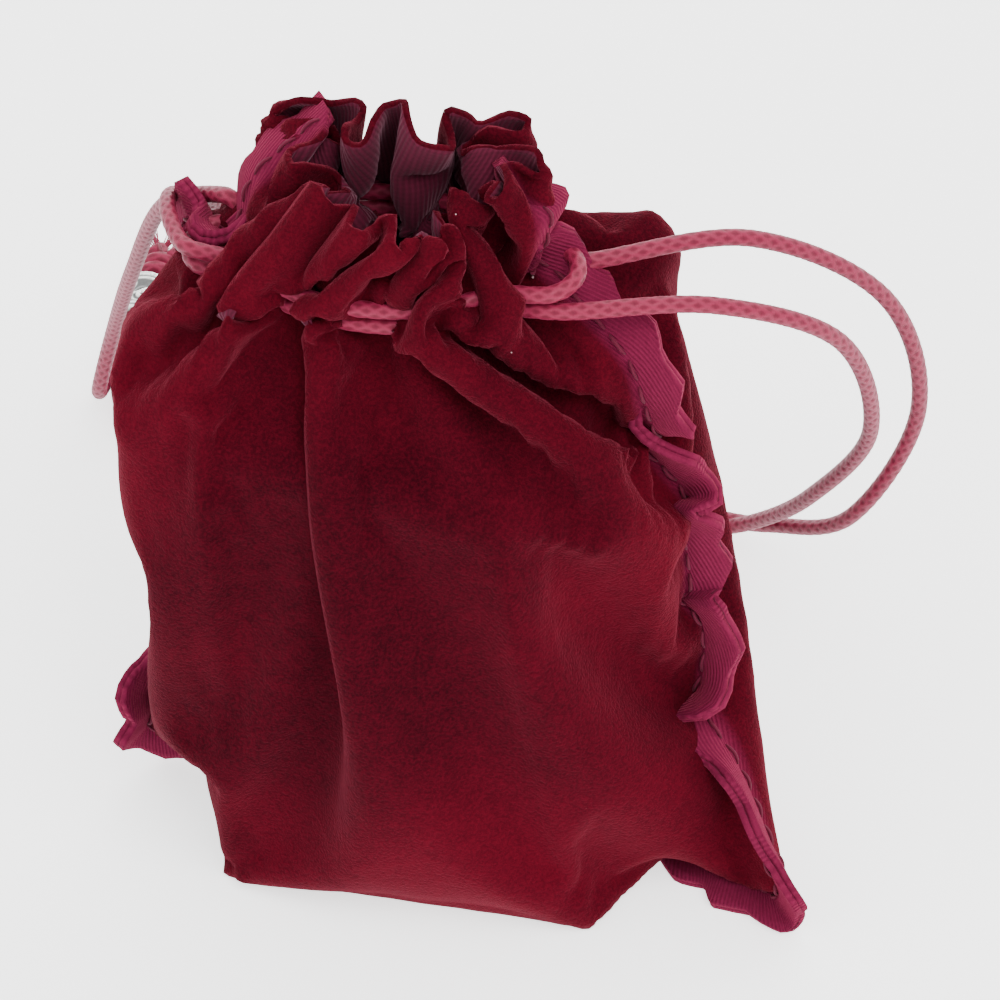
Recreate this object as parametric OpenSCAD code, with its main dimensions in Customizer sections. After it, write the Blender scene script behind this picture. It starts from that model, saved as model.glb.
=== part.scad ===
// Drawstring gift pouch of velvet, filled, standing and drawn closed.
// Two pinked velvet panels are sewn together at the sides and the bottom. Two cords run through
// three pairs of slits in each panel, leave at opposite sides and each carry a bead and a knot.
// Frame: +X to the right, +Y to the back, +Z up, origin under the middle of the pouch.

/* [Velvet panels] */
// Width of each panel, pinked edge to pinked edge
panel_width = 100; // [92:1:130]
// Height of each panel, bottom edge to top edge
panel_height = 120; // [100:1:150]
// Width of the seam allowance outside the stitching
seam_allowance = 4.5; // [3:0.5:6]
// Thickness of the velvet
cloth_thickness = 0.8; // [0.6:0.1:1.0]
// Depth of the pinked notches along the raw edges
pinking_depth = 1.2; // [0.5:0.1:2]

/* [Filled shape] */
// Width of the front and the back when the pouch is filled
filled_width = 40; // [32:1:50]
// Depth from front to back when the pouch is filled
filled_depth = 36; // [30:1:44]
// Share of the spare side cloth that stands out as a seam; the rest lies in soft folds
seam_fullness = 0.47; // [0.35:0.01:0.6]
// Softness of the upright corners
corner_softness = 3; // [2:0.5:5]
// Height of each lower ear where its seam joins the upright side
ear_height = 16; // [10:1:24]

/* [Drawn mouth] */
// Width of the cord ring round the neck
mouth_width = 28; // [24:1:34]
// Depth of the cord ring round the neck
mouth_depth = 16; // [14:1:20]
// Distance from the top edge down to the cord line
ruffle_height = 16; // [12:1:22]
// Height that the panels lose where they are drawn in to the neck
mouth_drop = 6.5; // [5:0.5:10]
// How far the neck leans to the back
mouth_lean = 4; // [0:0.5:6]
// How far the neck is drawn over to the right
mouth_shift = 0; // [-4:0.5:4]
// How far the ruffle spreads above the neck
ruffle_flare = 3; // [1:0.5:5]

/* [Drawcords] */
// Thickness of the braided cord
cord_diameter = 1.7; // [1.4:0.1:1.9]
// Free room between a cord and the velvet it runs along
cord_clearance = 0.5; // [0.3:0.05:0.8]

/* [Beads and knots] */
// Length of each bead
bead_length = 6.2; // [4:0.1:9]
// Largest diameter of each bead
bead_diameter = 5.4; // [5:0.1:7]
// Diameter of the hole through each bead
bead_bore = 4; // [3.9:0.1:4.4]
// How far each bead slides along its cord
bead_travel = 8; // [2:0.5:8]
// Length of each knot
knot_length = 5; // [4:0.5:7]
// Thickness of each knot
knot_diameter = 4.6; // [4:0.1:5.2]
// Length of the cut cord ends beyond each knot
knot_tail = 3; // [2:0.5:6]

/* [Stitching] */
// Thickness of the sewing thread
thread_diameter = 0.4; // [0.3:0.05:0.6]
// How far outside the seam fold the thread lies
thread_offset = 1; // [0.7:0.1:1.5]

/* [Hidden] */

half_cloth = cloth_thickness / 2;
half_width = filled_width / 2;
half_depth = filled_depth / 2;
seam_gap = 0.05;              // half of the gap between the two layers of a seam
seam_round = 0.25;            // how much later the outer side of the cloth turns at a side seam
bottom_round = 0.35;          // the same at the bottom seam
side_cloth = panel_width / 2 - seam_allowance - half_width;
seam_bulge = seam_fullness * sqrt(side_cloth * side_cloth - half_depth * half_depth);
seam_x = half_width + seam_bulge;

// Ears and bottom
ear_reach = half_width + half_depth;
ear_tip = 4.5;                // height of the seam at the tip of an ear
ear_top = half_depth + ear_height;
ear_sweep = 0.8;              // how fast a seam draws in above its ear; 1 is evenly
ear_fold_share = 0.97;        // share of the depth reached by the fold that starts an ear
ear_fold_lift = 1.1;          // height by which that fold leaves the ground
ear_fold_gap = 0.6;           // width of the turn beside that fold
bottom_fin = 5;               // columns on each side of the middle that carry the bottom seam allowance
bottom_ramp = 9;              // width of the slope from the bottom up to the bottom seam
bottom_room = 0.3;            // free height under the bottom seam allowance
fold_half = 1.2;              // half of the cloth taken up by the fold from the bottom to a wall

// Angles of a seam allowance, in degrees above the level, and the cloth over which they change
allowance_droop = -10;
allowance_lift = 35;
allowance_fall = 8;
allowance_turn = 0.4;         // share of an ear over which its allowance turns up
allowance_level = 0.5;        // share of an ear at which its allowance starts to turn level
allowance_span = 0.7;         // share of an ear over which it turns level
shoulder_angle = 32;
shoulder_ease = 9;

// Heights along a panel, measured over the cloth from the bottom seam
cord_line = panel_height - seam_allowance - ruffle_height;
slit_below = 3;
slit_above = 2.5;
neck_start = cord_line - slit_below;
cloth_up = neck_start - half_depth;
neck_z = cloth_up - mouth_drop;
cord_z = neck_z + slit_below;
ruffle_rise = 0.95;           // height gained for each millimetre of ruffle
shoulder_min = 5;             // least height from the walls up to the neck
shoulder_rows = 16;           // height of the closely spaced rows below the neck
seam_drop = 10;               // height of the neck above the point where a side seam turns in to it
seam_wall = neck_z - seam_drop;
seam_turn = seam_wall + half_depth;

// Cord ring: the cloth weaves this far in and out of it
ring_a = mouth_width / 2;
ring_b = mouth_depth / 2;
weave = cord_diameter / 2 + cord_clearance + half_cloth;
cord_room = 0.2;              // half of the gap between the two stacked cords
strand_room = 0.05;           // half of the gap between paired strands in a bead
cord_step = cord_diameter / 2 + cord_room;
strand_offset = cord_diameter / 2 + strand_room;

// Columns across half a panel: 0 is the middle, then the wall, the soft corner, the side, the seam, the edge
wall_columns = 6;
corner_column = 9;
seam_column = 19;
edge_column = 20;
slit_columns = [2, 10, 14];

// Beads and knots
bead_gap = 0.3;               // room between a bead and its knot
bead_round = 0.35;            // roundness of the end rings of a bead
bead_lip = 0.1;               // how far the barrel of a bead stands out past its end rings
bead_swell = 0.4;             // how far the barrel of a bead swells in the middle
knot_root = 0.5;              // length of a cut end hidden in its knot
// Outline of a knot as shares of its radius and its length
knot_outline = [[0, 0], [0.75, 0], [1, 0.18], [1, 0.36], [0.86, 0.5], [1, 0.64], [1, 0.82], [0.8, 1], [0, 1]];

// Angles of the columns round the neck. Three bridges arch outside the cords, the rest runs inside them.
bridge_angle = 50;            // angle of the outer bridges
bridge_half = 11;             // half of the angle that a bridge spans
flank = 1.25;                 // half of the angle of the slit cloth beside a bridge
neck_angles = concat(
    [0, 5, bridge_half - flank, bridge_half + flank],
    [for (i = [1:6]) lerp(bridge_half + flank, bridge_angle - bridge_half - flank, i / 7)],
    [bridge_angle - bridge_half - flank, bridge_angle - bridge_half + flank],
    [bridge_angle - 3, bridge_angle + 3],
    [bridge_angle + bridge_half - flank, bridge_angle + bridge_half + flank],
    [for (i = [1:3]) lerp(bridge_angle + bridge_half + flank, 90, i / 4)],
    [90, 90]);
neck_weave = [1, 1, 1, -1, -1, -1, -1, -1, -1, -1, -1, 1, 1, 1, 1, -1, -1, -0.6, -0.3, 0, 0];

// Rows up a panel
wall_steps = 24;
rows = concat(
    [-seam_allowance, 0],
    [for (i = [1:5]) half_depth * i / 6],
    [half_depth - fold_half],
    [for (i = [0:wall_steps]) lerp(half_depth + fold_half, neck_start - shoulder_rows, i / wall_steps)],
    [for (i = [1:4]) lerp(neck_start - shoulder_rows, neck_start, i / 5)],
    [neck_start, cord_line + slit_above],
    [for (i = [1:4]) lerp(cord_line + slit_above, cord_line + ruffle_height, i / 4)]);
slit_row = len(rows) - 6;

// ---------------------------------------------------------------- helpers

function lerp(a, b, t) = a + (b - a) * t;
function limit(t) = min(1, max(0, t));
function smooth(t) = let (s = limit(t)) s * s * (3 - 2 * s);
function unit(v) = v / max(norm(v), 1e-9);

// Two triangles of a four-sided face
function halves(q) = [[q[0], q[1], q[2]], [q[0], q[2], q[3]]];

// ---------------------------------------------------------------- shape of the cloth

// Side seam of the right side at height v along the cloth
function seam_point(v) =
    v <= ear_top
        ? let (t = max(v, 0) / ear_top)
          [lerp(ear_reach, seam_x, pow(t, ear_sweep)), 0, lerp(ear_tip, ear_height, t)]
    : v <= seam_turn ? [seam_x, 0, v - half_depth]
    : v <= neck_start
        ? let (t = (v - seam_turn) / (neck_start - seam_turn))
          [lerp(seam_x, ring_a, t), mouth_lean * t, lerp(seam_wall, neck_z, t)]
    : neck_point(seam_column, v, 1);

// Direction in which the seam allowance stands, in degrees above +X
function fin_angle(v) =
    v < ear_top + allowance_fall
        ? let (turn = lerp(allowance_droop, allowance_lift, smooth(v / (allowance_turn * ear_top))))
          turn * (1 - smooth((v / ear_top - allowance_level) / allowance_span))
    : v < neck_start
        ? shoulder_angle * smooth((v - seam_turn) / allowance_fall + 0.5)
          * (1 - smooth((v - neck_start) / shoulder_ease + 1))
    : 0;

// Cloth of the neck and the ruffle
function neck_point(k, v, side) =
    let (t = limit((v - cord_line) / ruffle_height),
         reach = weave * neck_weave[k] + ruffle_flare * t,
         angle = neck_angles[k],
         rise = v <= cord_line ? v - cord_line : (v - cord_line) * ruffle_rise)
    [(ring_a + reach) * sin(angle), mouth_lean + side * (ring_b + reach) * cos(angle), cord_z + rise];

// Height at which the wall turns in to the neck, so that the cloth keeps its length
function wall_top(side) =
    let (run = half_depth - side * mouth_lean - ring_b)
    min(neck_z - shoulder_min, cloth_up - mouth_drop / 2 - run * run / (2 * mouth_drop));

// Cloth lying under the pouch, rising to the bottom seam in the middle and running out into the ears
function bottom_point(k, v, side) =
    let (lift = (seam_allowance + bottom_room - half_cloth) * limit(1 - v / bottom_ramp)
                * (k < wall_columns ? 1 : k == wall_columns ? 0.5 : 0),
         fold_x = lerp(ear_reach, half_width, v / half_depth),
         fold = [fold_x, side * v * ear_fold_share, half_cloth + ear_fold_lift],
         seam = seam_point(v))
    k <= wall_columns ? [(half_width - corner_softness) * k / wall_columns, side * v, half_cloth + lift]
    : k < corner_column
        ? let (t = (k - wall_columns) / (corner_column - wall_columns - 1))
          [lerp(half_width - corner_softness, fold_x - ear_fold_gap, t), side * v, half_cloth]
    : lerp(fold, seam, (k - corner_column) / (seam_column - corner_column));

// Cloth of the upright body
function wall_point(k, v, side) =
    let (z = v - half_depth + half_cloth,
         corner = [half_width, side * half_depth, z],
         from = [half_width - corner_softness, side * half_depth, z],
         along = unit([seam_bulge, -side * half_depth, 0]),
         to = corner + along * corner_softness,
         t = (k - wall_columns) / (corner_column - wall_columns))
    k <= wall_columns ? [from[0] * k / wall_columns, from[1], z]
    : k <= corner_column ? from * pow(1 - t, 2) + corner * 2 * t * (1 - t) + to * t * t
    : lerp(to, seam_point(v), (k - corner_column) / (seam_column - corner_column));

// Middle surface of a panel at column k and height v; side is -1 for the front and 1 for the back
function right_point(k, v, side) =
    let (top = half_depth + wall_top(side))
    k >= seam_column ? seam_point(v)
    : v < half_depth ? bottom_point(k, max(v, 0), side)
    : v < top ? wall_point(k, v, side)
    : v < neck_start
        ? lerp(wall_point(k, top, side), neck_point(k, neck_start, side), (v - top) / (neck_start - top))
    : neck_point(k, v, side);

function mirror_x(p) = [-p[0], p[1], p[2]];
function drawn_over(v) = [mouth_shift * smooth((v - seam_turn) / (neck_start - seam_turn)), 0, 0];
function middle(k, v, side) =
    drawn_over(v) + (k < 0 ? mirror_x(right_point(-k, v, side)) : right_point(k, v, side));

// Column numbers run from -edge_column to edge_column
columns = 2 * edge_column + 1;

function cloth_grid(side) = [for (v = rows) [for (j = [0:columns - 1]) middle(j - edge_column, v, side)]];

// Outward direction of the middle surface at row i and column number j
function outward(grid, i, j, side) =
    let (a = grid[i][max(j - 1, 1)], b = grid[i][min(j + 1, columns - 2)],
         c = grid[max(i - 1, 1)][j], d = grid[min(i + 1, len(rows) - 1)][j])
    -side * unit(cross(b - a, d - c));

// Point on the outer (face = 1) or the inner (face = -1) side of the cloth
function cloth_point(grid, i, j, side, face) =
    let (k = abs(j - edge_column), hand = j < edge_column ? -1 : 1, v = rows[i], p = grid[i][j],
         layer = seam_gap + (face > 0 ? cloth_thickness : 0),
         angle = fin_angle(max(v, 0)), out = [hand * cos(angle), 0, sin(angle)],
         notch = i % 2 == 0 ? pinking_depth : 0,
         top_notch = i == len(rows) - 1 && k % 2 == 1 ? pinking_depth : 0,
         n = outward(grid, i, j, side))
    i == 0 ? [p[0], side * layer, 0]
    : k == edge_column ? [p[0], p[1] + side * layer, p[2]] + out * (seam_allowance - notch)
    : k == seam_column ? [p[0], p[1] + side * layer, p[2] - top_notch] + out * seam_round * face
    : i == 1
        ? (k <= bottom_fin
            ? [p[0], side * layer, p[2] - bottom_round * face]
            : let (m = unit([n[0], 0, n[2]])) [p[0] + m[0] * half_cloth * face, side * seam_gap,
                                               max(0, p[2] + m[2] * half_cloth * face)])
    : let (q = p + n * half_cloth * face) [q[0], q[1], max(0, q[2]) - top_notch];

// Whether the cloth is there between rows i and i + 1 and columns j and j + 1
function is_cloth(i, j) =
    i < 0 || i > len(rows) - 2 || j < 0 || j > columns - 2 ? false
    : let (k = j < edge_column ? edge_column - 1 - j : j - edge_column)
      i == 0 ? k < bottom_fin
    : i == slit_row ? len([for (s = slit_columns) if (s == k) s]) == 0
    : true;

// A panel as a closed shell with its slits and its pinked edges
module panel(side) {
    grid = cloth_grid(side);
    count = len(rows) * columns;
    points = concat(
        [for (i = [0:len(rows) - 1]) for (j = [0:columns - 1]) cloth_point(grid, i, j, side, 1)],
        [for (i = [0:len(rows) - 1]) for (j = [0:columns - 1]) cloth_point(grid, i, j, side, -1)]);
    faces = [for (i = [0:len(rows) - 2]) for (j = [0:columns - 2]) if (is_cloth(i, j))
        let (a = i * columns + j, b = a + 1, d = a + columns, c = d + 1)
        for (q = [[a, d, c, b],
                  [a + count, b + count, c + count, d + count],
                  is_cloth(i - 1, j) ? [] : [a, b, b + count, a + count],
                  is_cloth(i, j + 1) ? [] : [b, c, c + count, b + count],
                  is_cloth(i + 1, j) ? [] : [c, d, d + count, c + count],
                  is_cloth(i, j - 1) ? [] : [d, a, a + count, d + count]])
            if (len(q) == 4)
                for (t = halves(q)) side < 0 ? t : [t[2], t[1], t[0]]];
    polyhedron(points, faces, convexity = 10);
}

// ---------------------------------------------------------------- tubes

// Points of a smooth curve through a route, with a number of steps between neighbours
function curve(route, steps) =
    let (last = len(route) - 1)
    concat([for (i = [0:last - 1]) for (s = [0:steps - 1])
        let (t = s / steps, a = route[max(i - 1, 0)], b = route[i], c = route[i + 1],
             d = route[min(i + 2, last)])
        0.5 * (2 * b + (c - a) * t + (2 * a - 5 * b + 4 * c - d) * t * t
               + (3 * b - a - 3 * c + d) * t * t * t)],
        [route[last]]);

// A tube swept along a list of points, its rings turned as little as possible
module tube(path, diameter, sides) {
    last = len(path) - 1;
    tangents = [for (i = [0:last]) unit(path[min(i + 1, last)] - path[max(i - 1, 0)])];
    first = unit(cross(tangents[0], abs(tangents[0][2]) < 0.9 ? [0, 0, 1] : [0, 1, 0]));
    normals = [for (i = 0, n = first; i <= last;
                    i = i + 1, n = i <= last ? unit(n - (n * tangents[i]) * tangents[i]) : n) n];
    points = [for (i = [0:last]) for (s = [0:sides - 1])
        let (angle = 360 * s / sides)
        path[i] + diameter / 2 * (cos(angle) * normals[i] + sin(angle) * cross(tangents[i], normals[i]))];
    walls = [for (i = [0:last - 1]) for (s = [0:sides - 1])
        let (a = i * sides + s, b = i * sides + (s + 1) % sides)
        for (t = halves([a, a + sides, b + sides, b])) t];
    start = [for (s = [0:sides - 1]) s];
    end = [for (s = [sides - 1:-1:0]) last * sides + s];
    polyhedron(points, concat(walls, [start, end]), convexity = 10);
}

// ---------------------------------------------------------------- cords

// The ring of a cord whose ends leave at the right, from its front exit round to its back exit
ring_limit = bridge_angle + bridge_half;
exit_reach = 1;               // how far beyond the ring the two strands of an exit lie side by side
turn_radius = max(2 * cord_diameter, seam_gap + cloth_thickness + cord_diameter / 2 + cord_clearance);
turn_x = ring_a + seam_allowance + cord_diameter / 2 + cord_clearance - turn_radius;
function ring_part(side, z) = [for (i = [-3:3])
    let (angle = ring_limit * i / 3)
    [side * ring_a * sin(angle), mouth_lean + side * ring_b * cos(angle), z]];
function cord_ring(z) = concat(
    [[ring_a + exit_reach, mouth_lean - turn_radius, z]],
    ring_part(-1, z),
    [for (angle = [-90, 0, 90])
        [-turn_x - turn_radius * cos(angle), mouth_lean + turn_radius * sin(angle), z]],
    ring_part(1, z),
    [[ring_a + exit_reach, mouth_lean + turn_radius, z]]);
function drawn_ring(z, hand) = [for (p = cord_ring(z)) [hand * p[0] + mouth_shift, p[1], p[2]]];

// Size for which the route points below are set; spread() places them on a pouch of another size
route_seam = 28.5;
route_depth = 18;
route_neck = 75;

// Beads lie on the ground behind the pouch; each line starts at the face of its knot
line_z = 2.8;                        // height of the strands through a bead
line_rest = 2.2;                     // straight cord left beyond a bead that has slid up its line
line_length = bead_gap + bead_length + bead_travel + line_rest;
right_line = spread([2, 38.5, line_z]);      // these strands come along -X
left_line = spread([-52.5, 63.5, line_z]);   // these strands come along +Y

function spread(p) = [p[0] * seam_x / route_seam, p[1] * half_depth / route_depth,
                      line_z + (p[2] - line_z) * (cord_z - line_z) / (route_neck - line_z)];

// Free strands from the neck to the straight stretch before the bead
right_front_strand = [[20, 1, 74], [33, 5.5, 72.5], [43, 13.5, 61],
                      [43, 22, 39], [34, 29, 20], [25, 36, 6.5]];
right_back_strand = [[20, 8, 74], [34, 16, 71.5], [45, 24, 57],
                     [46.5, 28.5, 36], [38, 30, 16.5], [27, 36, 6.5]];
left_front_strand = [[-20, 2, 76], [-25, 13, 71], [-25, 29, 51],
                     [-28, 39, 25], [-39, 42, 4.5], [-48, 42, 1.8]];
left_back_strand = [[-18, 9, 76], [-28, 17, 65], [-38, 28, 43], [-47, 39.5, 21], [-52, 43, 7]];

function reversed(list) = [for (i = [len(list) - 1:-1:0]) list[i]];

// A free strand on its way down to the point where its line starts, and back up from there
function falling(route, foot) = curve(concat([for (p = route) spread(p)], [foot]), 2);
function rising(route, foot) = reversed(falling(route, foot));

// A whole cord: knot, bead line, front strand, ring, back strand, bead line, knot
function right_end(reach, strand) = right_line + [reach, strand * strand_offset, 0];
right_path = concat(
    [right_end(0, -1)],
    rising(right_front_strand, right_end(line_length, -1)),
    drawn_ring(cord_z - cord_step, 1),
    falling(right_back_strand, right_end(line_length, 1)),
    [right_end(0, 1)]);
function left_end(reach, strand) = left_line + [strand * strand_offset, -reach, 0];
left_path = concat(
    [left_end(0, 1)],
    rising(left_front_strand, left_end(line_length, 1)),
    drawn_ring(cord_z + cord_step, -1),
    falling(left_back_strand, left_end(line_length, -1)),
    [left_end(0, -1)]);

// ---------------------------------------------------------------- pieces

velvet = "#7a1526";
velvet_back = "#84283f";
thread_colour = "#b5364f";
cord_colour = "#a8405c";
silver = "#c9c9c6";

module front_panel() {
    color(velvet)
        panel(-1);
}

module back_panel() {
    color(velvet_back)
        panel(1);
}

// Sewing thread on the front of a seam: its free room, where it stops short, and how far forward it lies
thread_room = 0.05;
thread_end = 0.5;
thread_layer = seam_gap + cloth_thickness + thread_diameter / 2 + thread_room;

// Sewing thread lying on the front of a side seam allowance; hand is 1 on the right and -1 on the left
module side_stitching(hand) {
    path = [for (i = [2:len(rows) - 1])
        let (v = rows[i], p = seam_point(v), angle = fin_angle(v),
             reach = max(thread_offset, thread_diameter))
        drawn_over(v) + [hand * (p[0] + reach * cos(angle)), p[1] - thread_layer,
                         p[2] + reach * sin(angle)]];
    color(thread_colour)
        tube(path, thread_diameter, 6);
}

module side_stitching_left() {
    side_stitching(-1);
}

module side_stitching_right() {
    side_stitching(1);
}

// Sewing thread lying on the front of the bottom seam allowance
module bottom_stitching() {
    reach = (half_width - corner_softness) * bottom_fin / wall_columns - thread_end;
    color(thread_colour)
        tube([for (i = [-2:2]) [reach * i / 2, -thread_layer, seam_allowance - thread_offset - thread_end]],
             thread_diameter, 6);
}

module cord_left() {
    color(cord_colour)
        tube(left_path, cord_diameter, 8);
}

module cord_right() {
    color(cord_colour)
        tube(right_path, cord_diameter, 8);
}

// Places its children on a bead line, their +Z along the strands towards the neck
module on_line(start, turn) {
    translate(start)
        rotate([0, 0, turn])
            rotate([0, 90, 0])
                children();
}

// A column bead: a barrel between two rounded end rings, with the hole that both strands pass through
module bead() {
    bore = bead_bore / 2;
    outer = bead_diameter / 2;
    ring = bead_length / 7;
    neck = outer - bead_round - bead_lip;
    color(silver)
        translate([0, 0, bead_gap])
            rotate_extrude($fn = 48)
                polygon(concat(
                    [[bore, 0], [neck, 0]],
                    [for (a = [-60:30:60]) [neck + bead_round * cos(a), ring / 2 * (1 + sin(a))]],
                    [for (t = [0:6])
                        [outer - bead_swell * pow(t / 3 - 1, 2), lerp(ring, bead_length - ring, t / 6)]],
                    [for (a = [-60:30:60])
                        [neck + bead_round * cos(a), bead_length - ring / 2 * (1 - sin(a))]],
                    [[neck, bead_length], [bore, bead_length]]));
}

module bead_left() {
    on_line(left_line, -90)
        bead();
}

module bead_right() {
    on_line(right_line, 0)
        bead();
}

// An overhand knot of both strands: a waisted barrel with the two cut ends beyond it
module knot() {
    radius = knot_diameter / 2;
    color(cord_colour)
        union() {
            translate([0, 0, -knot_length])
                rotate_extrude($fn = 32)
                    polygon([for (p = knot_outline) [radius * p[0], knot_length * p[1]]]);
            for (s = [-1, 1])
                translate([0, s * strand_offset, -knot_length - knot_tail])
                    cylinder(d = cord_diameter, h = knot_tail + knot_root, $fn = 24);
        }
}

module knot_left() {
    on_line(left_line, -90)
        knot();
}

module knot_right() {
    on_line(right_line, 0)
        knot();
}

front_panel();
back_panel();
side_stitching_left();
side_stitching_right();
bottom_stitching();
cord_left();
cord_right();
bead_left();
bead_right();
knot_left();
knot_right();
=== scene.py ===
from math import copysign, cos, pi, radians, sin, sqrt, tau

import bmesh
import bpy
import numpy as np
from bpy.props import FloatProperty, FloatVectorProperty, IntProperty, PointerProperty
from bpy.types import Operator, Panel, PropertyGroup
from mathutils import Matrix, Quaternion, Vector


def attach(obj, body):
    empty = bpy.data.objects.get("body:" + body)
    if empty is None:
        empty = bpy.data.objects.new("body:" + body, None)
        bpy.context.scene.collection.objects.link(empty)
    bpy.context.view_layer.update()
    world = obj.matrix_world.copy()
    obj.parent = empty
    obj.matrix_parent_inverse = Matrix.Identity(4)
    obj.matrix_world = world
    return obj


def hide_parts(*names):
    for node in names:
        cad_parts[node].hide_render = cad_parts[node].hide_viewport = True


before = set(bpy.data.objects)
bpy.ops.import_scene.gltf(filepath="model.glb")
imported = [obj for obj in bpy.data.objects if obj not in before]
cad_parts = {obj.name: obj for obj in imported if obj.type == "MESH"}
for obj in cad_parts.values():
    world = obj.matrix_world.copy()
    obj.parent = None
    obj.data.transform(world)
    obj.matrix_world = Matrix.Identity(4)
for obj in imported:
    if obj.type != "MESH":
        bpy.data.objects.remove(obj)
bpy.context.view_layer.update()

bl_info = {
    "name": "Drawstring Gift Pouch",
    "version": (1, 0, 0),
    "blender": (4, 5, 0),
    "location": "3D View > Sidebar > Pouch",
    "description": "Velvet gift pouch with pinked seams, braided drawcords, beads and knots",
    "category": "Object",
}

MM = 0.001
POUCH, LEFT, RIGHT = "pouch", "left_bead", "right_bead"

# ---------------------------------------------------------------- settings


def colour(name, text, value):
    return FloatVectorProperty(name=name, description=text, default=value, size=3,
                               subtype="COLOR", min=0.0, max=1.0)


def length(name, text, value):
    return FloatProperty(name=name, description=text, default=value, unit="LENGTH", subtype="DISTANCE")


class VelvetSettings(PropertyGroup):
    pile: colour("Pile", "Colour of the velvet pile seen straight on", (0.0165, 0.0008, 0.0027))
    # The lit colour is a lit copy of the pile colour: painted light, which also stands for brushed pile.
    lit: colour("Brushed pile", "Colour of the pile where it is brushed over", (0.082, 0.0024, 0.0085))
    reverse: colour("Reverse", "Colour of the knitted back of the velvet", (0.155, 0.011, 0.040))
    thickness: length("Thickness", "Thickness of the velvet", 0.7 * MM)
    pinking_pitch: length("Pinking pitch", "Distance between two pinked teeth", 5.5 * MM)
    pinking_depth: length("Pinking depth", "Depth of the notches between the teeth", 1.3 * MM)
    allowance: length("Seam allowance", "Width of the cloth outside the stitching", 4.5 * MM)
    stiffness: FloatProperty(name="Stiffness", description="How strongly the velvet resists a fold",
                             default=5.0, min=0.1, max=20.0)
    steps: IntProperty(name="Steps", description="Steps of the cloth simulation", default=70, min=2, max=150)


class CordSettings(PropertyGroup):
    tone: colour("Cord", "Colour of the braided cord", (0.16, 0.0095, 0.030))
    # The lit strand colour is a painted highlight on the raised strands of the braid.
    light: colour("Cord, lit strands", "Colour of the raised strands of the braid", (0.25, 0.019, 0.055))
    diameter: length("Diameter", "Thickness of the cord", 1.7 * MM)
    plait: length("Plait", "Length of one turn of the braid", 3.4 * MM)


class BeadSettings(PropertyGroup):
    silver: colour("Silver", "Colour of the polished relief", (0.80, 0.80, 0.78))
    tarnish: colour("Tarnish", "Colour of the dark recesses", (0.13, 0.13, 0.13))
    relief: length("Relief", "Depth of the scrolls", 0.28 * MM)


class StitchSettings(PropertyGroup):
    tone: colour("Thread", "Colour of the sewing thread", (0.11, 0.008, 0.026))
    stitch: length("Stitch", "Length of one stitch", 2.2 * MM)
    gap: length("Gap", "Distance between two stitches", 0.7 * MM)
    thread: length("Thread thickness", "Thickness of the sewing thread", 0.36 * MM)


class StageSettings(PropertyGroup):
    floor: colour("Floor", "Colour of the floor and the backdrop", (0.93, 0.93, 0.93))
    key: FloatProperty(name="Key light", description="Power of the large soft light", default=5.6,
                       min=0.0, unit="POWER")


# ---------------------------------------------------------------- shader maths


class Value:
    """A shader socket that takes part in arithmetic: every operation adds one Math node."""

    def __init__(self, tree, socket):
        self.tree, self.socket = tree, socket

    def math(self, operation, *terms):
        node = self.tree.nodes.new("ShaderNodeMath")
        node.operation = operation
        for entry, term in zip(node.inputs, terms):
            if isinstance(term, Value):
                self.tree.links.new(term.socket, entry)
            else:
                entry.default_value = term
        return Value(self.tree, node.outputs[0])

    def __add__(self, other):
        return self.math("ADD", self, other)

    def __radd__(self, other):
        return self.math("ADD", other, self)

    def __sub__(self, other):
        return self.math("SUBTRACT", self, other)

    def __rsub__(self, other):
        return self.math("SUBTRACT", other, self)

    def __mul__(self, other):
        return self.math("MULTIPLY", self, other)

    def __rmul__(self, other):
        return self.math("MULTIPLY", other, self)

    def above(self, level):
        return self.math("GREATER_THAN", self, level)

    def below(self, level):
        return self.math("LESS_THAN", self, level)

    def sine(self):
        return self.math("SINE", self)


class Finish:
    """A material under construction around one Principled shader."""

    def __init__(self, name, **constants):
        self.material = bpy.data.materials.new(name)
        self.material.use_nodes = True
        self.tree = self.material.node_tree
        self.shader = self.tree.nodes["Principled BSDF"]
        for socket, value in constants.items():
            self.shader.inputs[socket.replace("_", " ")].default_value = value

    def node(self, kind, settings=None, inputs=None):
        made = self.tree.nodes.new(kind)
        for key, value in (settings or {}).items():
            setattr(made, key, value)
        for key, value in (inputs or {}).items():
            self.feed(made.inputs[key], value)
        return made

    def feed(self, entry, value):
        if isinstance(value, Value):
            value = value.socket
        if isinstance(value, bpy.types.NodeSocket):
            self.tree.links.new(value, entry)
        else:
            entry.default_value = value

    def value(self, socket):
        return Value(self.tree, socket)

    def attribute(self, name, output="Fac"):
        return self.value(self.node("ShaderNodeAttribute", {"attribute_name": name}).outputs[output])

    def place(self):
        return self.node("ShaderNodeTexCoord").outputs["Object"]

    def noise(self, scale, detail=2.0, roughness=0.5, where=None):
        made = self.node("ShaderNodeTexNoise", inputs={
            "Vector": where or self.place(), "Scale": scale, "Detail": detail, "Roughness": roughness})
        return self.value(made.outputs["Fac"])

    def range(self, value, low, high):
        made = self.node("ShaderNodeMapRange", {"interpolation_type": "SMOOTHSTEP"},
                         {"Value": value, "From Min": low, "From Max": high})
        return self.value(made.outputs["Result"])

    def blend(self, share, first, second):
        made = self.node("ShaderNodeMix", {"data_type": "RGBA"})
        for index, value in ((0, share), (6, first), (7, second)):
            self.feed(made.inputs[index], (*value, 1.0) if isinstance(value, tuple) else value)
        return made.outputs[2]

    def bump(self, height, distance, strength=1.0, under=None):
        inputs = {"Height": height, "Distance": distance, "Strength": strength}
        if under is not None:
            inputs["Normal"] = under
        return self.node("ShaderNodeBump", inputs=inputs).outputs["Normal"]

    def use(self, **sockets):
        for socket, value in sockets.items():
            self.feed(self.shader.inputs[socket.replace("_", " ")], value)
        return self.material


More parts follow.
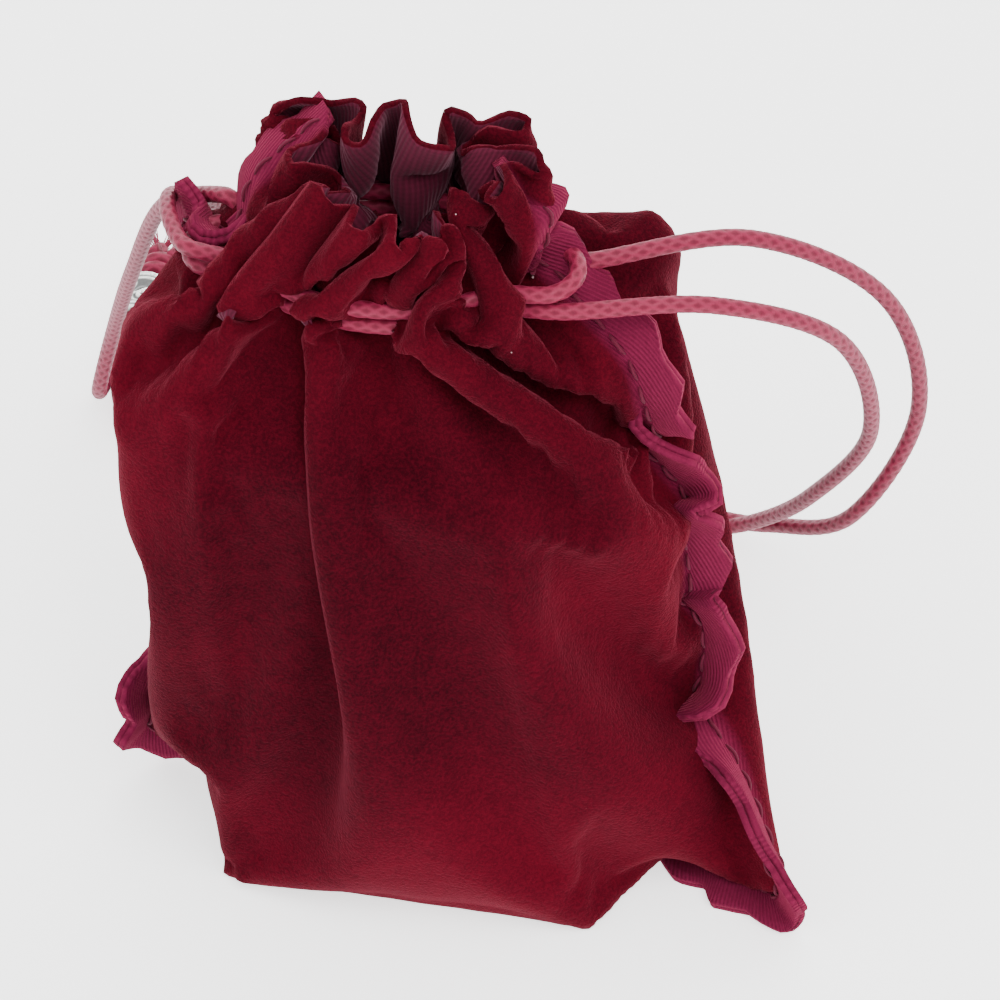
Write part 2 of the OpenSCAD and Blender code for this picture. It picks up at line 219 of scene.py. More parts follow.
def velvet_finish(look):
    """Short dense pile: deep where seen straight on, brighter in random patches, with stray lint. The patches
    take a lit copy of the pile colour: painted light, which also stands for brushed pile.
    """
    make = Finish("velvet pile", Roughness=0.92, Sheen_Weight=0.17, Sheen_Roughness=0.36,
                  Sheen_Tint=(1.0, 0.14, 0.24, 1.0), Specular_IOR_Level=0.02)
    # Mask for random patches of the lit pile colour: painted light, and partly brushed pile.
    brushed_and_lit = make.range(make.noise(26.0, 2.0), 0.36, 0.68)
    fine = make.range(make.noise(420.0, 3.0, 0.6), 0.3, 0.75)
    grain = make.range(make.noise(3000.0, 2.0, 0.7), 0.3, 0.7)
    tone = make.blend(brushed_and_lit * 0.5 + fine * 0.14 + grain * 0.36, tuple(look.pile), tuple(look.lit))
    cells = make.node("ShaderNodeTexVoronoi", {"feature": "F1"},
                      {"Vector": make.place(), "Scale": 330.0, "Randomness": 1.0})
    chance = make.node("ShaderNodeSeparateColor", inputs={"Color": cells.outputs["Color"]})
    lint = (make.value(cells.outputs["Distance"]).below(0.045)
            * make.value(chance.outputs["Red"]).above(0.93))
    tone = make.blend(lint * 0.75, tone, (0.62, 0.42, 0.44))
    edge = make.attribute("edge")
    rib = make.attribute("rib")
    ribs = (rib * (tau / 0.42)).sine() * 0.5 + 0.5
    knit = make.blend(ribs * 0.5 + grain * 0.35, tuple(0.62 * c for c in look.reverse), tuple(look.reverse))
    tone = make.blend(edge, tone, knit)
    pile = make.bump(grain * (1 - edge * 0.7), 0.00016, 0.4)
    soft = make.bump(fine, 0.0002, 0.15, pile)
    relief = make.bump(ribs * edge, 0.00012, 0.8, soft)
    return make.use(Base_Color=tone, Normal=relief)


def reverse_finish(look):
    """The knitted back of the velvet: fine ribs, duller and more purple than the pile. It is painted darker
    away from the seams and the allowance, as painted shade for the inside of the pouch.
    """
    make = Finish("velvet reverse", Roughness=0.88, Sheen_Weight=0.15, Sheen_Roughness=0.4,
                  Sheen_Tint=(1.0, 0.45, 0.6, 1.0), Specular_IOR_Level=0.15)
    across = make.attribute("across")
    along = make.attribute("along")
    ribs = (across * (tau / 0.5)).sine() * 0.5 + 0.5
    loops = (along * (tau / 0.62)).sine() * 0.5 + 0.5
    fuzz = make.noise(1500.0, 3.0, 0.65)
    # Painted shade: away from the seams and the allowance (edge 0), the blend share is halved toward the dark
    # reverse colour, so the inside of the pouch is darker.
    outside = make.attribute("edge") * 0.5 + 0.5
    tone = make.blend((ribs * 0.4 + loops * 0.15 + fuzz * 0.35) * outside,
                      tuple(0.25 * c for c in look.reverse), tuple(look.reverse))
    return make.use(Base_Color=tone, Normal=make.bump(ribs * 0.7 + fuzz * 0.5, 0.00014, 0.7))


def cord_finish(look):
    """Braided cord with a slight gloss: raised strands are painted lighter as a painted highlight, and the
    gaps between them painted darker as painted shade.
    """
    make = Finish("braided cord", Roughness=0.5, Sheen_Weight=0.04, Sheen_Roughness=0.3,
                  Sheen_Tint=(1.0, 0.4, 0.5, 1.0), Specular_IOR_Level=0.15)
    raised = make.attribute("raised")
    fibre = make.noise(5200.0, 2.0, 0.6)
    # Painted shade: the gaps between the raised strands get a darker copy of the cord colour.
    tone = make.blend(raised * 0.8 + fibre * 0.3, tuple(0.62 * c for c in look.tone), tuple(look.tone))
    # Painted highlight: the tops of the raised strands blend toward the lit strand colour.
    tone = make.blend(make.range(raised + fibre * 0.3, 0.75, 1.2) * 0.75, tone, tuple(look.light))
    return make.use(Base_Color=tone, Roughness=0.62 - raised * 0.2,
                    Normal=make.bump(fibre, 0.0001, 0.5))


def thread_finish(look):
    """Spun sewing thread."""
    make = Finish("sewing thread", Roughness=0.7, Sheen_Weight=0.03, Specular_IOR_Level=0.1)
    fibre = make.noise(6000.0, 2.0, 0.6)
    tone = make.blend(fibre, tuple(0.6 * c for c in look.tone), tuple(look.tone))
    return make.use(Base_Color=tone, Normal=make.bump(fibre, 0.00005, 0.5))


def silver_finish(look):
    """Cast silver, bright on the relief and tarnished in its recesses."""
    make = Finish("antique silver", Metallic=1.0, Roughness=0.24, Specular_IOR_Level=0.5)
    depth = make.attribute("recess")
    cloud = make.noise(900.0, 3.0, 0.6)
    dark = make.range(depth + cloud * 0.3, 0.55, 1.2)
    tone = make.blend(dark, tuple(look.silver), tuple(look.tarnish))
    return make.use(Base_Color=tone, Roughness=0.2 + dark * 0.45 + cloud * 0.08,
                    Normal=make.bump(make.noise(3000.0, 2.0), 0.00003, 0.35))


# ---------------------------------------------------------------- small geometry helpers


def lerp(a, b, t):
    return a + (b - a) * t


def units(rows):
    """Each row of an array at length 1."""
    return rows / np.maximum(np.linalg.norm(rows, axis=-1, keepdims=True), 1e-9)


def averaged(rows, times):
    """Rows of an open path, smoothed along it."""
    for _ in range(times):
        padded = np.concatenate([rows[:1], rows, rows[-1:]])
        rows = 0.25 * padded[:-2] + 0.5 * padded[1:-1] + 0.25 * padded[2:]
    return rows


def refined(points, parts):
    """Points along axis 0 with a smooth curve through them, each span cut into parts."""
    points = np.asarray(points, float)
    before = np.concatenate([2 * points[:1] - points[1:2], points[:-1]])[:-1]
    after = np.concatenate([points[1:], 2 * points[-1:] - points[-2:-1]])[1:]
    a, b = points[:-1], points[1:]
    steps = [0.5 * (2 * a + (b - before) * t + (2 * before - 5 * a + 4 * b - after) * t * t
                    + (3 * a - before - 3 * b + after) * t ** 3) for t in np.arange(parts) / parts]
    body = np.stack(steps, 1).reshape(-1, *points.shape[1:])
    return np.concatenate([body, points[-1:]])


def spaced(points, step):
    """A path resampled at an even step."""
    points = np.asarray(points, float)
    along = np.concatenate([[0], np.cumsum(np.linalg.norm(np.diff(points, axis=0), axis=1))])
    places = np.linspace(0, along[-1], max(2, int(round(along[-1] / step)) + 1))
    return np.stack([np.interp(places, along, points[:, i]) for i in range(3)], 1)


def add_piece(name, points, faces, materials, body, replaces=(), attributes=None, scale=MM):
    """A finished piece from points in millimetres: shaded smooth, riding on its body."""
    mesh = bpy.data.meshes.new(name)
    mesh.from_pydata([tuple(p) for p in np.asarray(points) * scale], [], faces)
    mesh.validate()
    mesh.polygons.foreach_set("use_smooth", [True] * len(mesh.polygons))
    for key, values in (attributes or {}).items():
        layer = mesh.attributes.new(key, "FLOAT", "POINT")
        layer.data.foreach_set("value", np.asarray(values, dtype=np.float32))
    piece = bpy.data.objects.new(name, mesh)
    bpy.context.scene.collection.objects.link(piece)
    for material in materials:
        mesh.materials.append(material)
    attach(piece, body)
    if replaces:
        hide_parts(*replaces)
    return piece


def frames_along(path):
    """Tangents and two normals along a path, turned as little as possible."""
    path = np.asarray(path, float)
    tangents = units(np.gradient(path, axis=0))
    first = np.cross(tangents[0], (0, 0, 1) if abs(tangents[0][2]) < 0.9 else (0, 1, 0))
    normals = [first / np.linalg.norm(first)]
    for tangent in tangents[1:]:
        normal = normals[-1] - np.dot(normals[-1], tangent) * tangent
        normals.append(normal / np.linalg.norm(normal))
    normals = np.array(normals)
    return tangents, normals, np.cross(tangents, normals)


def tube(path, radii, sides):
    """Points and faces of a closed tube; radii is one number, one per ring, or one per point."""
    path = np.asarray(path, float)
    _, normals, binormals = frames_along(path)
    angles = np.arange(sides) * tau / sides
    radii = np.broadcast_to(np.asarray(radii, float).reshape(-1, 1) if np.ndim(radii) == 1 else radii,
                            (len(path), sides))
    points = (path[:, None] + radii[..., None] * (np.cos(angles)[None, :, None] * normals[:, None]
                                                 + np.sin(angles)[None, :, None] * binormals[:, None]))
    faces = [(i * sides + s, i * sides + (s + 1) % sides,
              (i + 1) * sides + (s + 1) % sides, (i + 1) * sides + s)
             for i in range(len(path) - 1) for s in range(sides)]
    faces += [tuple(range(sides))[::-1], tuple((len(path) - 1) * sides + s for s in range(sides))]
    return points.reshape(-1, 3), faces


def joined(parts):
    """Several (points, faces) as one."""
    points, faces, count = [], [], 0
    for part_points, part_faces in parts:
        points.append(part_points)
        faces += [tuple(i + count for i in face) for face in part_faces]
        count += len(part_points)
    return np.concatenate(points), faces


# ---------------------------------------------------------------- the cloth

UNIT = 20 * MM          # the simulation runs at twenty times the real size
PANEL_WIDTH, PANEL_HEIGHT = 100.0, 120.0
STITCH_MARGIN = 4.5
SEAM = PANEL_WIDTH / 2 - STITCH_MARGIN
TOP = PANEL_HEIGHT - STITCH_MARGIN
CORD_ROW = 99.5
COLUMNS = 46
SLITS = (6, 17, 21, 25, 30, 41)
HALF_WIDTH, HALF_DEPTH = 20.0, 18.0
CORNER = 9.0
NECK = (0.0, 4.0, 75.0)
NECK_HALF = (14.0, 8.0)
ROWS = np.concatenate([np.linspace(0, 96.5, 49), [98.0, 99.5, 101.0, 102.5], np.linspace(102.5, TOP, 8)[1:]])
CORD_INDEX = int(np.argmin(abs(ROWS - CORD_ROW)))
SLIT_ENDS = (CORD_INDEX - 2, CORD_INDEX + 2)
ACROSS = np.linspace(-SEAM, SEAM, COLUMNS + 1)
FRONT, BACK = -1, 1

# Where the ruffle ends up: side, distance across, distance up, point, strength of the hold.
RUFFLE = [
    (FRONT, -36.0, TOP, (-3.5, 8.5, 89.0), 0.6), (FRONT, -29.7, TOP, (-1.0, 7.0, 90.5), 0.6),
    (FRONT, -20.0, TOP, (1.5, 7.0, 90.5), 0.8), (FRONT, -14.0, TOP, (1.5, 4.0, 88.5), 0.6),
    (FRONT, -9.9, TOP, (0.5, 1.0, 86.5), 0.6), (FRONT, -4.0, TOP, (0.5, -1.5, 85.0), 0.6),
    (FRONT, 3.0, TOP, (4.0, -2.8, 82.5), 0.8), (FRONT, 9.9, TOP, (9.5, -1.0, 83.5), 0.8),
    (FRONT, 15.8, TOP, (7.5, 4.0, 84.5), 0.6), (FRONT, 21.8, TOP, (5.0, 7.5, 86.0), 0.6),
    (FRONT, 27.7, TOP, (7.5, 6.5, 87.5), 0.6), (FRONT, 35.6, TOP, (10.5, 4.0, 86.5), 0.7),
    (FRONT, 45.5, TOP, (11.0, 8.5, 86.5), 0.8), (FRONT, -45.5, TOP, (-4.0, 12.0, 87.0), 0.7),
    (BACK, -36.0, TOP, (-6.5, 14.0, 87.0), 0.5), (BACK, -29.7, TOP, (-5.0, 13.5, 88.5), 0.5),
    (BACK, -9.9, TOP, (-1.0, 12.5, 90.5), 0.5), (BACK, 4.0, TOP, (2.5, 10.3, 93.5), 0.8),
    (BACK, 15.8, TOP, (6.0, 10.0, 92.0), 0.6), (BACK, 27.7, TOP, (9.5, 11.5, 91.5), 0.6),
    (BACK, 35.6, TOP, (11.5, 11.0, 90.0), 0.7),
    (FRONT, -31.6, 80.0, (-25.0, -9.0, 66.0), 0.6), (FRONT, -33.6, 90.0, (-18.0, -3.5, 72.5), 0.5),
    (FRONT, -26.0, 108.0, (-5.5, 1.0, 84.0), 0.6), (BACK, -28.0, 108.0, (-9.0, 13.0, 83.0), 0.4),
]
SEAM_HOLDS = {
    1: [(2, (40.5, -15.5, 1.4), 0.6), (26, (29.8, -1.5, 17), 0.7), (40, (29.5, 0, 29), 0.7),
        (55, (29.3, 0.5, 42), 0.7), (68, (28.8, 1.2, 53), 0.7), (80, (26.8, 2.8, 63.2), 0.7),
        (90, (21.5, 4.5, 71.3), 0.6)],
    -1: [(30, (-22.8, 8, 19), 0.4), (50, (-22.3, 9, 37), 0.5), (70, (-22.2, 9, 54), 0.5),
         (84, (-19.8, 8, 65), 0.4)],
}
GIFT_TOP = {(-1, -1): (-25.0, -11.5, 65.0), (1, -1): (16.5, -13.5, 58.5),
            (1, 1): (25.0, 21.0, 68.5), (-1, 1): (-20.0, 17.0, 67.0)}


def flat_place(s, v):
    """Place of a point on the flat cloth, with the bottom corners rounded."""
    a, q, w = abs(s), (CORNER - (SEAM - abs(s))) / CORNER, (CORNER - v) / CORNER
    if q > 0 and w > 0:
        a = SEAM - CORNER + q * sqrt(1 - w * w / 2) * CORNER
        v = CORNER - w * sqrt(1 - q * q / 2) * CORNER
    return copysign(a, s), v


def start_place(s, v, side):
    """Place of a point on the open, box-bottomed pouch before the cord is drawn."""
    s, v = flat_place(s, v)
    hand, a = (1 if s >= 0 else -1), abs(s)
    rise = min(1.0, v / HALF_DEPTH)
    height = v - HALF_DEPTH + 16.1 if v > HALF_DEPTH else 0.6 + 15.5 * rise
    seam = np.array([lerp(SEAM, 38.0, rise), 0.0, height])
    if hand > 0:
        k = max(0.0, 1 - v / 36.0)
        seam += (-2.5 * k, -14.0 * k ** 1.2, 0.0)
    else:
        k = max(0.0, 1 - v / 30.0)
        seam += (-7.0 * k, -4.0 * k + 6.0 * (1 - k), 7.0 * k)
    corner = np.array([HALF_WIDTH, side * min(v, HALF_DEPTH), 0.4 + max(0.0, v - HALF_DEPTH)])
    place = corner * (a / HALF_WIDTH, 1, 1) if a <= HALF_WIDTH else \
        lerp(corner, seam, (a - HALF_WIDTH) / (SEAM - HALF_WIDTH))
    return place * (hand, 1, 1)


def neck_place(angle, out, side, rise=0.0):
    """Point by the drawn cord: angle round the neck in degrees, distance outside the cord."""
    t = radians(angle)
    return (NECK[0] + (NECK_HALF[0] + out) * sin(t), NECK[1] + side * (NECK_HALF[1] + out) * cos(t),
            NECK[2] + rise)


def neck_holds(side):
    """Column, copy (0 before a slit, 1 after it), angle and distance out of each held point."""
    middle = (-27, -7) if side == FRONT else (-15, -1)
    holds = [(0, 0, -90, -1.2), (2, 0, -80, -4.5), (4, 0, -71, -2.0), (6, 0, -62, -1.6), (6, 1, -60, 1.5),
             (8, 0, -57, 4.2), (11, 0, -50, 1.8), (14, 0, -44, 6.0), (17, 0, -38, 1.5), (17, 1, -36, -1.6),
             (19, 0, lerp(-36, middle[0], 0.5), -5.2)]
    holds += [(21, 0, middle[0], -1.6), (21, 1, middle[0] + 1.5, 1.5), (23, 0, sum(middle) / 2, 2.4),
              (25, 0, middle[1] - 1.5, 1.5), (25, 1, middle[1], -1.6)]
    return holds + [(28, 0, lerp(middle[1], 12, 0.55), -4.6), (30, 0, 12, -1.6), (30, 1, 14, 1.5),
                    (33, 0, 24, 4.6), (36, 0, 36, 1.8), (38, 0, 47, 4.0), (41, 0, 62, 1.5), (41, 1, 64, -1.6),
                    (43, 0, 76, -4.5), (46, 0, 90, -1.2)]


class Pouch:
    """The two panels as one grid of cloth, sewn along the sides and the bottom, with slits for the cords."""

    def __init__(self):
        self.index, self.after, places = {}, {}, []
        for side in (FRONT, BACK):
            for j, s in enumerate(ACROSS):
                for i, v in enumerate(ROWS):
                    if side == BACK and (i == 0 or j in (0, COLUMNS)):
                        self.index[side, j, i] = self.index[FRONT, j, i]
                        continue
                    self.index[side, j, i] = len(places)
                    places.append((s, v, side))
                    if j in SLITS and SLIT_ENDS[0] < i < SLIT_ENDS[1]:
                        self.after[side, j, i] = len(places)
                        places.append((s, v, side))
        self.start = np.array([start_place(*place) for place in places])
        flat = np.array([flat_place(s, v) for s, v, _ in places])
        self.flat = np.stack([flat[:, 0], 0.02 * np.array([p[2] for p in places]), flat[:, 1]], 1)
        self.faces = []
        for side in (FRONT, BACK):
            for j in range(COLUMNS):
                for i in range(len(ROWS) - 1):
                    face = [self.later(side, j, i), self.index[side, j + 1, i],
                            self.index[side, j + 1, i + 1], self.later(side, j, i + 1)]
                    self.faces.append(face if side == FRONT else face[::-1])
        self.settle_holds()

    def later(self, side, j, i):
        """The point after a slit, or the only one."""
        return self.after.get((side, j, i), self.index[side, j, i])

    def nearest(self, side, s, v):
        return self.index[side, int(np.argmin(abs(ACROSS - s))), int(np.argmin(abs(ROWS - v)))]

    def settle_holds(self):
        self.drawn, self.hold = self.start.copy(), np.zeros(len(self.start))
        holds = [(self.nearest(side, s, v), place, strength) for side, s, v, place, strength in RUFFLE]
        holds += [(self.nearest(FRONT, hand * SEAM, v), place, strength)
                  for hand, rows in SEAM_HOLDS.items() for v, place, strength in rows]
        for side in (FRONT, BACK):
            for j, copy, angle, out in neck_holds(side):
                if side == FRONT or j not in (0, COLUMNS):
                    point = self.later(side, j, CORD_INDEX) if copy else self.index[side, j, CORD_INDEX]
                    holds.append((point, neck_place(angle, out, side), 1.0))
        for point, place, strength in holds:
            self.drawn[point], self.hold[point] = place, strength

    def settled(self, stiffness, steps):
        """The cloth after it is drawn in round the gift inside, in millimetres."""
        scene = bpy.context.scene
        bag = self.scratch("cloth", self.start, self.faces)
        bag.shape_key_add(name="open")
        drawn = bag.shape_key_add(name="drawn")
        drawn.data.foreach_set("co", (self.drawn * UNIT).ravel())
        flat = bag.shape_key_add(name="flat")
        flat.data.foreach_set("co", (self.flat * UNIT).ravel())
        for value, frame_number in ((0.0, 1), (1.0, max(2, int(steps * 0.62)))):
            drawn.value = value
            drawn.keyframe_insert("value", frame=frame_number)
        pins = bag.vertex_groups.new(name="held")
        for point in np.nonzero(self.hold)[0]:
            pins.add([int(point)], float(self.hold[point]), "REPLACE")
        obstacles = [self.gift(), self.scratch("ground", np.array(
            [[-200, -200, 0], [200, -200, 0], [200, 200, 0], [-200, 200, 0]]), [[0, 1, 2, 3]])]
        for obstacle in obstacles:
            obstacle.modifiers.new("solid", "COLLISION")
            obstacle.collision.thickness_outer = 0.3 * UNIT
            obstacle.collision.thickness_inner = 2 * UNIT
            obstacle.collision.cloth_friction = 8
        cloth = bag.modifiers.new("cloth", "CLOTH")
        for key, value in {"quality": 8, "mass": 0.35, "tension_stiffness": 25, "compression_stiffness": 15,
                           "shear_stiffness": 8, "bending_stiffness": stiffness, "tension_damping": 5,
                           "compression_damping": 5, "shear_damping": 5, "bending_damping": 1.0,
                           "air_damping": 1.5, "bending_model": "ANGULAR", "vertex_group_mass": "held",
                           "pin_stiffness": 5, "rest_shape_key": flat}.items():
            setattr(cloth.settings, key, value)
        for key, value in {"use_collision": True, "distance_min": 0.35 * UNIT, "use_self_collision": True,
                           "self_distance_min": 0.45 * UNIT, "self_friction": 5,
                           "collision_quality": 4}.items():
            setattr(cloth.collision_settings, key, value)
        cloth.point_cache.frame_start, cloth.point_cache.frame_end = 1, steps
        scene.frame_start, scene.frame_end = 1, steps
        for frame_number in range(1, steps + 1):
            scene.frame_set(frame_number)
        result = bag.evaluated_get(bpy.context.evaluated_depsgraph_get())
        points = np.empty(len(self.start) * 3)
        result.data.vertices.foreach_get("co", points)
        for piece in [bag, *obstacles]:
            mesh = piece.data
            bpy.data.objects.remove(piece)
            bpy.data.meshes.remove(mesh)
        scene.frame_set(1)
        return points.reshape(-1, 3) / UNIT

    @staticmethod
    def scratch(name, points, faces):
        mesh = bpy.data.meshes.new(name)
        mesh.from_pydata([tuple(p) for p in points * UNIT], [], faces)
        mesh.update()
        piece = bpy.data.objects.new(name, mesh)
        bpy.context.scene.collection.objects.link(piece)
        return piece

    def gift(self):
        """The filled shape that the pouch is drawn round. It isn't part of the object."""
        shape = bmesh.new()
        bmesh.ops.create_cube(shape, size=2)
        for vert in shape.verts:
            x, y, z = vert.co
            vert.co = GIFT_TOP[round(x), round(y)] if z > 0 else (19.2 * x, 17.2 * y, 0.9)
        bmesh.ops.bevel(shape, geom=shape.edges[:], offset=3.0, segments=4, profile=0.5, affect="EDGES")
        for vert in shape.verts:
            vert.co *= UNIT
        mesh = bpy.data.meshes.new("gift")
        shape.to_mesh(mesh)
        shape.free()
        piece = bpy.data.objects.new("gift", mesh)
        bpy.context.scene.collection.objects.link(piece)
        return piece

    def coarse(self, points, side):
        """Points of one panel as rows by columns, each slit column given twice."""
        columns = [(j, False) for j in range(COLUMNS + 1)]
        for j in SLITS:
            columns.insert(columns.index((j, False)) + 1, (j, True))
        return np.array([[points[self.later(side, j, i) if twice else self.index[side, j, i]]
                          for j, twice in columns] for i in range(len(ROWS))])


SPANS = list(zip((0, *SLITS), (*SLITS, COLUMNS)))
FINE_ACROSS, FINE_UP = 3, 2
DOUBLED = [j + n + 1 for n, j in enumerate(SLITS)]
FINE_STARTS = [a * FINE_ACROSS + n for n, (a, _) in enumerate(SPANS)]
FINE_ENDS = [b * FINE_ACROSS + n for n, (_, b) in enumerate(SPANS)]
FINE_COLUMNS = FINE_ENDS[-1] + 1


def fine_panel(grid):
    """A coarse grid with doubled slit columns, refined in both directions."""
    rows = []
    for i, row in enumerate(grid):
        if SLIT_ENDS[0] < i < SLIT_ENDS[1]:
            spans = [refined(row[a + n:b + n + 1], FINE_ACROSS) for n, (a, b) in enumerate(SPANS)]
        else:
            keep = [k for k in range(len(row)) if k not in DOUBLED]
            whole = refined(row[keep], FINE_ACROSS)
            spans = [whole[a * FINE_ACROSS:b * FINE_ACROSS + 1] for a, b in SPANS]
        rows.append(np.concatenate(spans))
    return refined(np.array(rows), FINE_UP)


class VelvetPanel:
    """One velvet panel: the drawn cloth inside the stitching, and its allowance outside."""

    def __init__(self, pouch, points, side):
        self.side = side
        self.grid = fine_panel(pouch.coarse(points, side))
        flat = fine_panel(pouch.coarse(pouch.flat, side))
        self.s, self.v = flat[..., 0], flat[..., 2]
        for end, start in zip(FINE_ENDS[:-1], FINE_STARTS[1:]):
            whole = [i for i in range(len(self.grid))
                     if not SLIT_ENDS[0] * FINE_UP < i < SLIT_ENDS[1] * FINE_UP]
            middle = 0.5 * (self.grid[whole, end] + self.grid[whole, start])
            self.grid[whole, end] = self.grid[whole, start] = middle
        self.rows = len(self.grid)
        self.lift = 1.5 * ramp(26 - abs(self.s), 0, 8) * ramp(10 - self.v, 0, 5)
        self.grid[..., 2] += self.lift
        self.border = [(r, 0) for r in reversed(range(self.rows))]
        self.border += [(0, c) for c in range(1, FINE_COLUMNS - 1) if c not in FINE_STARTS]
        self.border += [(r, FINE_COLUMNS - 1) for r in range(self.rows)]

    def at(self, cells):
        return np.array([self.grid[cell] for cell in cells])

    def inward(self):
        """Points a little inside the stitching, one for each border point."""
        step = FINE_ACROSS
        return self.at([(r, step) if c == 0 else (r, FINE_COLUMNS - 1 - step) if c == FINE_COLUMNS - 1
                        else (FINE_UP, c) for r, c in self.border])

    def pink_top(self, pitch, depth):
        """Cuts the top edge to teeth."""
        up = units(self.grid[-1] - self.grid[-4])
        cut = depth * (0.5 + 0.5 * tooth(self.s[-1], pitch))
        for row, share in ((-1, 1.0), (-2, 0.55), (-3, 0.2)):
            self.grid[row] -= up * (cut * share)[:, None]
            self.v[row] -= cut * share

    def mesh(self, seam, look):
        """Points, faces and attributes of the panel with its allowance."""
        names, points, count = np.zeros((self.rows, FINE_COLUMNS), int), [], 0
        slit = range(SLIT_ENDS[0] * FINE_UP + 1, SLIT_ENDS[1] * FINE_UP)
        for r in range(self.rows):
            for c in range(FINE_COLUMNS):
                if c in FINE_STARTS[1:] and r not in slit:
                    names[r, c] = names[r, c - 1]
                    continue
                names[r, c] = count
                points.append((*self.grid[r, c], self.s[r, c], self.v[r, c]))
                count += 1
        faces = [(names[r, c], names[r, c + 1], names[r + 1, c + 1], names[r + 1, c])
                 for r in range(self.rows - 1) for c in range(FINE_COLUMNS - 1) if c not in FINE_ENDS]
        points = np.array(points)
        edge = np.clip(1.25 - np.minimum(SEAM - abs(points[:, 3]), points[:, 4]) / 1.3, 0, 1) ** 2
        previous = [names[cell] for cell in self.border]
        layers = seam.allowance_points(self.side, look)
        for layer in layers:
            points = np.concatenate([points, layer])
            edge = np.concatenate([edge, np.ones(len(layer))])
            current = list(range(len(points) - len(layer), len(points)))
            faces += [(current[i + 1], previous[i + 1], previous[i], current[i])
                      for i in range(len(current) - 1)]
            previous = current
        if self.side == BACK:
            faces = [face[::-1] for face in faces]
        return points[:, :3], faces, {"across": points[:, 3], "along": points[:, 4],
                                      "edge": edge, "rib": points[:, 3] + 0.35 * points[:, 4]}


def ramp(values, low, high):
    """0 below low, 1 above high, and smooth between them."""
    t = np.clip((values - low) / (high - low), 0, 1)
    return t * t * (3 - 2 * t)


def tooth(distance, pitch):
    """Zigzag from -1 to 1 along a distance."""
    return 4 * abs(distance / pitch - np.floor(distance / pitch + 0.5)) - 1


class Seam:
    """The sewn line down the left side, along the bottom and up the right side, with its directions."""

    def __init__(self, front, back):
        self.line = 0.5 * (front.at(front.border) + back.at(back.border))
        flat = np.array([(front.s[cell], 0.0, front.v[cell]) for cell in front.border])
        self.flat = flat
        self.tangent = units(averaged(np.gradient(self.line, axis=0), 3))
        out = units(self.line - front.inward()) + units(self.line - back.inward())
        self.under = ramp(27 - abs(flat[:, 0]), 0, 8) * (flat[:, 2] < 1)
        out += self.under[:, None] * np.array([0, -3.0, 0])
        out += ramp(flat[:, 2], 95, 102)[:, None] * np.array([0, 2.2, 0.3])
        out = averaged(out, 10)
        out = units(out - (out * self.tangent).sum(1, keepdims=True) * self.tangent)
        self.out = self.held_up(averaged(out, 4))
        self.back = units(np.cross(self.tangent, self.out))
        self.lift = np.array([front.lift[cell] for cell in front.border])
        turn = units(np.gradient(flat, axis=0))
        self.flat_out = np.stack([turn[:, 2], turn[:, 1], -turn[:, 0]], 1)
        self.distance = np.concatenate([[0], np.cumsum(np.linalg.norm(np.diff(flat, axis=0), axis=1))])

    def held_up(self, out):
        """Directions turned flat where the allowance would go into the ground."""
        lowest = 0.75
        level = np.clip((lowest - self.line[:, 2]) / STITCH_MARGIN, -1, 1)
        low = out[:, 2] < level
        aside = units(np.stack([self.tangent[:, 1], -self.tangent[:, 0], np.zeros(len(out))], 1))
        aside *= np.where(aside[:, 1:2] > 0, -1, 1)
        flat = units(out * (1, 1, 0) + 0.6 * aside * np.clip(-out[:, 2:3], 0, 1))
        lowered = flat * np.sqrt(1 - level ** 2)[:, None] + level[:, None] * np.array([0, 0, 1.0])
        return units(averaged(np.where(low[:, None], lowered, out), 3))

    def allowance_points(self, side, look):
        """Rows of points across the allowance of one panel, the last one pinked."""
        pitch, depth, width = (v / MM for v in (look.pinking_pitch, look.pinking_depth, look.allowance))
        rows = []
        for share in (0.22, 0.5, 0.78, 1.0):
            cut = depth * (0.5 + 0.5 * tooth(self.distance, pitch)) * max(0.0, share - 0.5) * 2
            reach = (width * share + 0.4 * share - cut)[:, None]
            curl = 0.35 * share * share * np.sin(self.distance / 9.0)[:, None]
            place = self.line + self.out * reach + self.back * (side * 0.37 + curl)
            place[:, 2] -= self.lift * min(1.0, share / 0.5) * 0.85
            place[:, 2] = np.maximum(place[:, 2], 0.38)
            flat = self.flat + self.flat_out * reach
            rows.append(np.concatenate([place, flat[:, [0]], flat[:, [2]]], 1))
        return rows

    def stitches(self, chosen, look):
        """Short capsules of thread on both faces along the chosen part of the seam."""
        stitch, gap, thick = (v / MM for v in (look.stitch, look.gap, look.thread))
        made, shares = [], np.linspace(0, 1, 7)
        for place in np.arange(self.distance[0] + 1.0, self.distance[-1] - stitch, stitch + gap):
            if not chosen(place):
                continue
            along = place + stitch * shares
            line, out, back = (np.stack([np.interp(along, self.distance, rows[:, i]) for i in range(3)], 1)
                               for rows in (self.line, self.out, self.back))
            for side in (FRONT, BACK):
                rise = (0.62 + 0.3 * np.sin(pi * shares))[:, None]
                path = line + 0.55 * out + side * back * rise
                path[:, 2] = np.maximum(path[:, 2], 0.3)
                made.append(tube(path, thick / 2 * np.array([0.5, 0.9, 1, 1, 1, 0.9, 0.5]), 8))
        return joined(made)


# ---------------------------------------------------------------- cords, beads and knots

